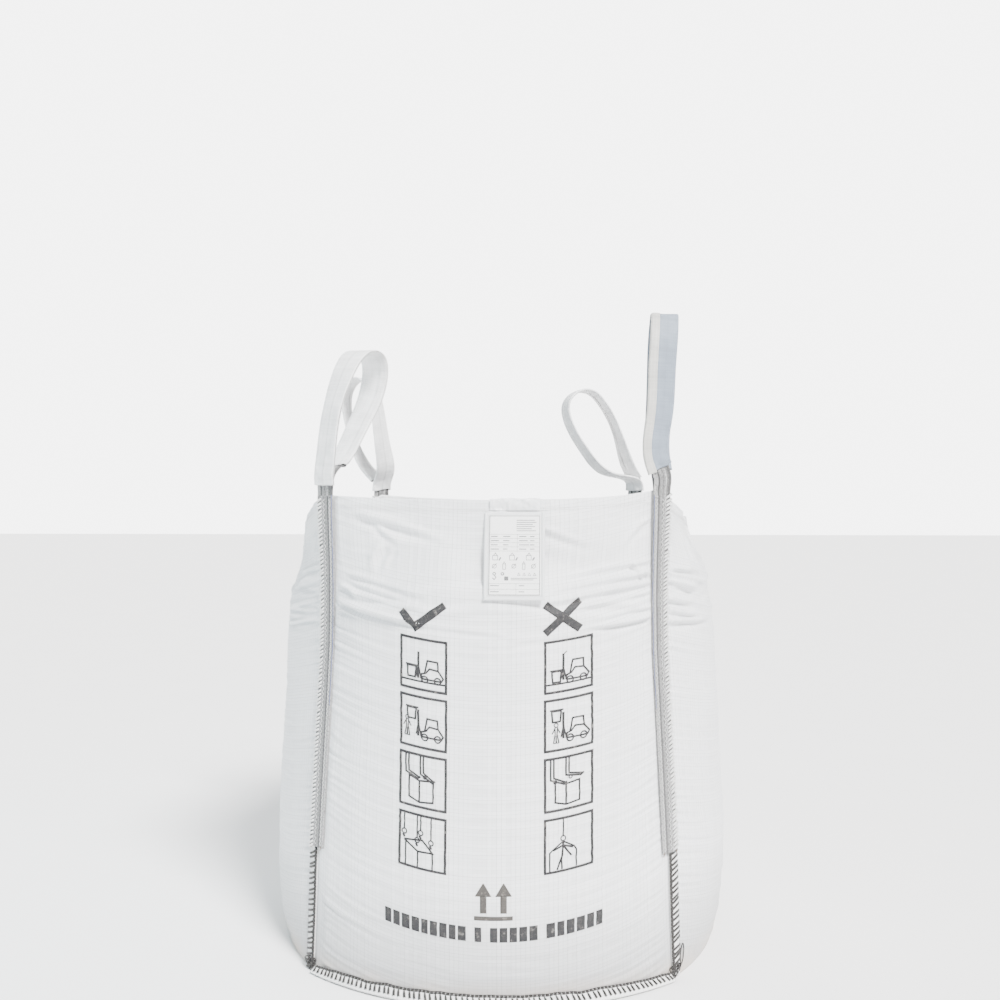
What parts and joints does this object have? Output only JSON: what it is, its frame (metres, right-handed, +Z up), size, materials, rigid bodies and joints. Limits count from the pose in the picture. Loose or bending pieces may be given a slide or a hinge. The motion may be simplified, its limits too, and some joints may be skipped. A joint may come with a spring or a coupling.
{
  "type": "bulk bag",
  "caption": "Open-top woven bulk bag with bulging panels, overlocked corner seams and sleeved lifting loops sewn into the corners, with a clear document pouch.",
  "frame": {"origin": "middle of the base, on the floor the bag stands on", "axes": "+Z up; the printed front panel with the document pouch faces -Y; +X to the right seen from the front"},
  "size_m": [1.18, 1.18, 1.5325],
  "materials": {
    "woven_fabric": "white woven polypropylene tape cloth, faint grid, slight sheen",
    "webbing": "grey-white ribbed polypropylene webbing",
    "sleeve_fabric": "white woven sleeve folded flat over the webbing",
    "white_thread": "white sewing thread",
    "black_thread": "black overlock thread",
    "clear_film": "clear soft film, welded edges",
    "label_paper": "matt white printed sheet"
  },
  "bodies": {
    "bag": {"front_panel": "woven_fabric", "rear_panel": "woven_fabric", "u_panel": "woven_fabric", "front_hem_stitching": "white_thread", "right_hem_stitching": "white_thread", "rear_hem_stitching": "white_thread", "left_hem_stitching": "white_thread", "front_bottom_seam": "woven_fabric", "front_bottom_seam_thread": "black_thread", "rear_bottom_seam": "woven_fabric", "rear_bottom_seam_thread": "black_thread", "front_left_corner_seam": "woven_fabric", "front_left_lower_seam_thread": "black_thread", "front_left_upper_seam_thread": "white_thread", "front_left_strap_inner_leg": "webbing", "front_left_strap_outer_leg": "webbing", "front_left_strap_stitching": "white_thread", "front_right_corner_seam": "woven_fabric", "front_right_lower_seam_thread": "black_thread", "front_right_upper_seam_thread": "white_thread", "front_right_strap_inner_leg": "webbing", "front_right_strap_outer_leg": "webbing", "front_right_strap_stitching": "white_thread", "rear_right_corner_seam": "woven_fabric", "rear_right_lower_seam_thread": "black_thread", "rear_right_upper_seam_thread": "white_thread", "rear_right_strap_inner_leg": "webbing", "rear_right_strap_outer_leg": "webbing", "rear_right_strap_stitching": "white_thread", "rear_left_corner_seam": "woven_fabric", "rear_left_lower_seam_thread": "black_thread", "rear_left_upper_seam_thread": "white_thread", "rear_left_strap_inner_leg": "webbing", "rear_left_strap_outer_leg": "webbing", "rear_left_strap_stitching": "white_thread", "pouch_header": "clear_film"},
    "front_left_loop": {"front_left_loop_webbing": "webbing", "front_left_loop_sleeve": "sleeve_fabric"},
    "front_right_loop": {"front_right_loop_webbing": "webbing", "front_right_loop_sleeve": "sleeve_fabric"},
    "rear_right_loop": {"rear_right_loop_webbing": "webbing", "rear_right_loop_sleeve": "sleeve_fabric"},
    "rear_left_loop": {"rear_left_loop_webbing": "webbing", "rear_left_loop_sleeve": "sleeve_fabric"},
    "pouch": {"document_pouch": "clear_film", "document_label": "label_paper"}
  },
  "joints": [
    {"name": "front_left_loop_fold", "type": "hinge", "parent": "bag", "child": "front_left_loop", "pos_m": [-0.39617, -0.39881, 1.124], "axis": [-0.8192, 0.5736, 0], "range_deg": [-150, 75]},
    {"name": "front_right_loop_fold", "type": "hinge", "parent": "bag", "child": "front_right_loop", "pos_m": [0.39617, -0.39881, 1.124], "axis": [-0.8192, -0.5736, 0], "range_deg": [-150, 88]},
    {"name": "rear_right_loop_fold", "type": "hinge", "parent": "bag", "child": "rear_right_loop", "pos_m": [0.39617, 0.39881, 1.124], "axis": [0.8192, -0.5736, 0], "range_deg": [-150, 62]},
    {"name": "rear_left_loop_fold", "type": "hinge", "parent": "bag", "child": "rear_left_loop", "pos_m": [-0.39617, 0.39881, 1.124], "axis": [0.8192, 0.5736, 0], "range_deg": [-135, 80]},
    {"name": "pouch_lift", "type": "hinge", "parent": "bag", "child": "pouch", "pos_m": [0.0575, -0.50085, 1.076], "axis": [-1, 0, 0], "range_deg": [0, 100]}
  ]
}
